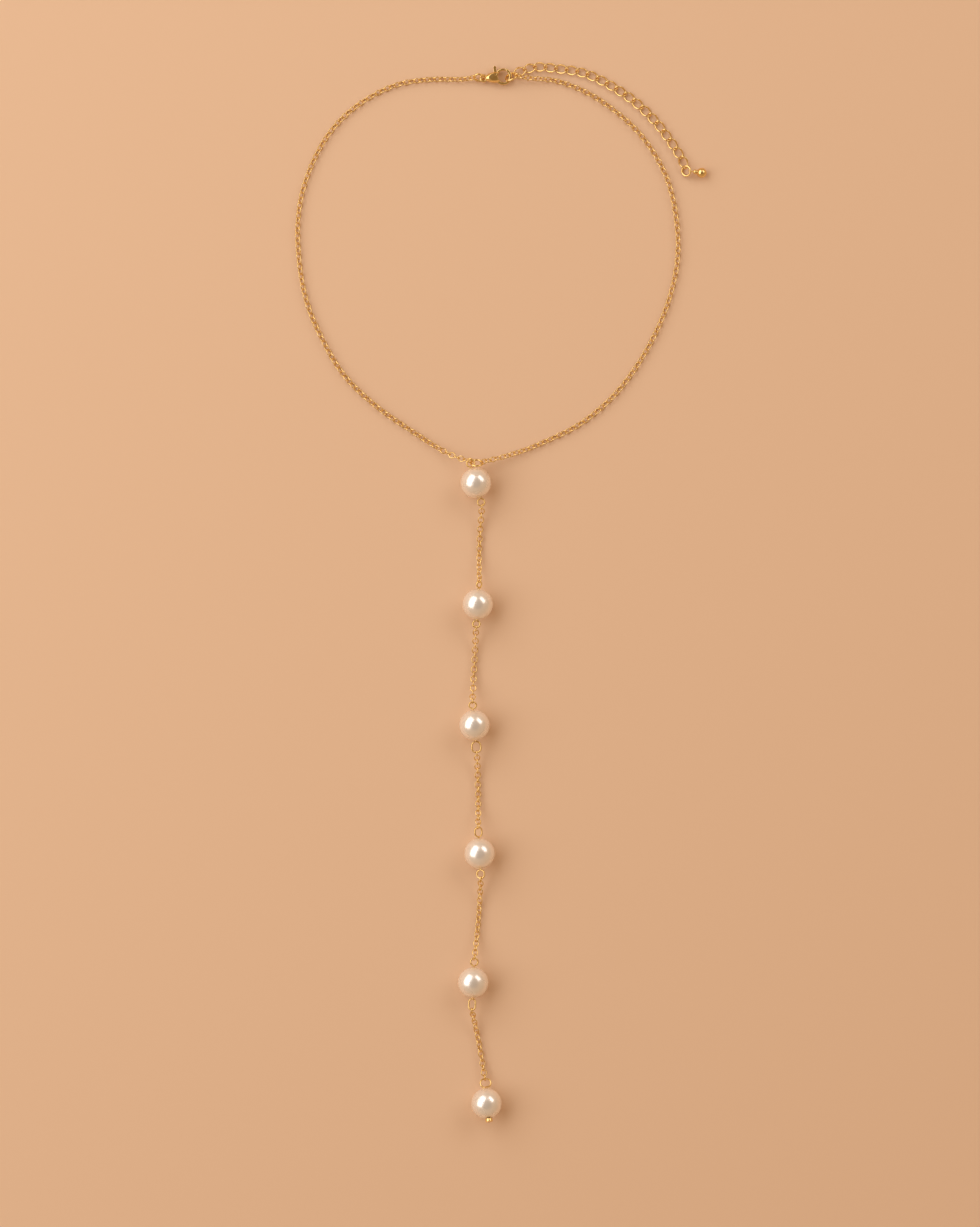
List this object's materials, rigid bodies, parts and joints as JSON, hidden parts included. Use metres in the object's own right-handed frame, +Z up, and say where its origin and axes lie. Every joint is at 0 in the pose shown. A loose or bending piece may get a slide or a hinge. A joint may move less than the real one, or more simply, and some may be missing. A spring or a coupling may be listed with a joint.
{
  "type": "lariat necklace",
  "caption": "Lariat necklace lying flat: a loop of fine cable chain closed by a lobster clasp with an extender chain, and one long drop of round pearls on the same chain.",
  "frame": {"origin": "on the surface that the necklace lies on, in the middle of the neck loop", "axes": "+Z up from the surface, +Y from the drop's end towards the clasp, +X to the right as seen from above"},
  "size_m": [0.1373, 0.3524, 0.0102],
  "materials": {
    "gold_plate": "polished light gold plate",
    "pearl": "glossy cream pearl coat"
  },
  "bodies": {
    "necklace": {"neck_chain_left": "gold_plate", "neck_chain_right": "gold_plate", "clasp_body": "gold_plate", "clasp_pin": "gold_plate", "clasp_ring": "gold_plate", "catch_ring": "gold_plate", "extender_chain": "gold_plate", "extender_end_ring": "gold_plate", "extender_ball": "gold_plate", "centre_ring": "gold_plate", "pearl_1": "pearl", "pearl_2": "pearl", "pearl_3": "pearl", "pearl_4": "pearl", "pearl_5": "pearl", "pearl_6": "pearl", "eye_pin_1": "gold_plate", "eye_pin_2": "gold_plate", "eye_pin_3": "gold_plate", "eye_pin_4": "gold_plate", "eye_pin_5": "gold_plate", "head_pin": "gold_plate", "drop_chain_1": "gold_plate", "drop_chain_2": "gold_plate", "drop_chain_3": "gold_plate", "drop_chain_4": "gold_plate", "drop_chain_5": "gold_plate"},
    "clasp_lever": {"clasp_lever": "gold_plate"}
  },
  "joints": [
    {"name": "lever_hinge", "type": "hinge", "parent": "necklace", "child": "clasp_lever", "pos_m": [0.00244, 0.06522, 0.00135], "axis": [0, 0, -1], "range_deg": [0, 18], "stiffness_Nm_per_rad": 0.002, "springref_deg": -5.73}
  ]
}
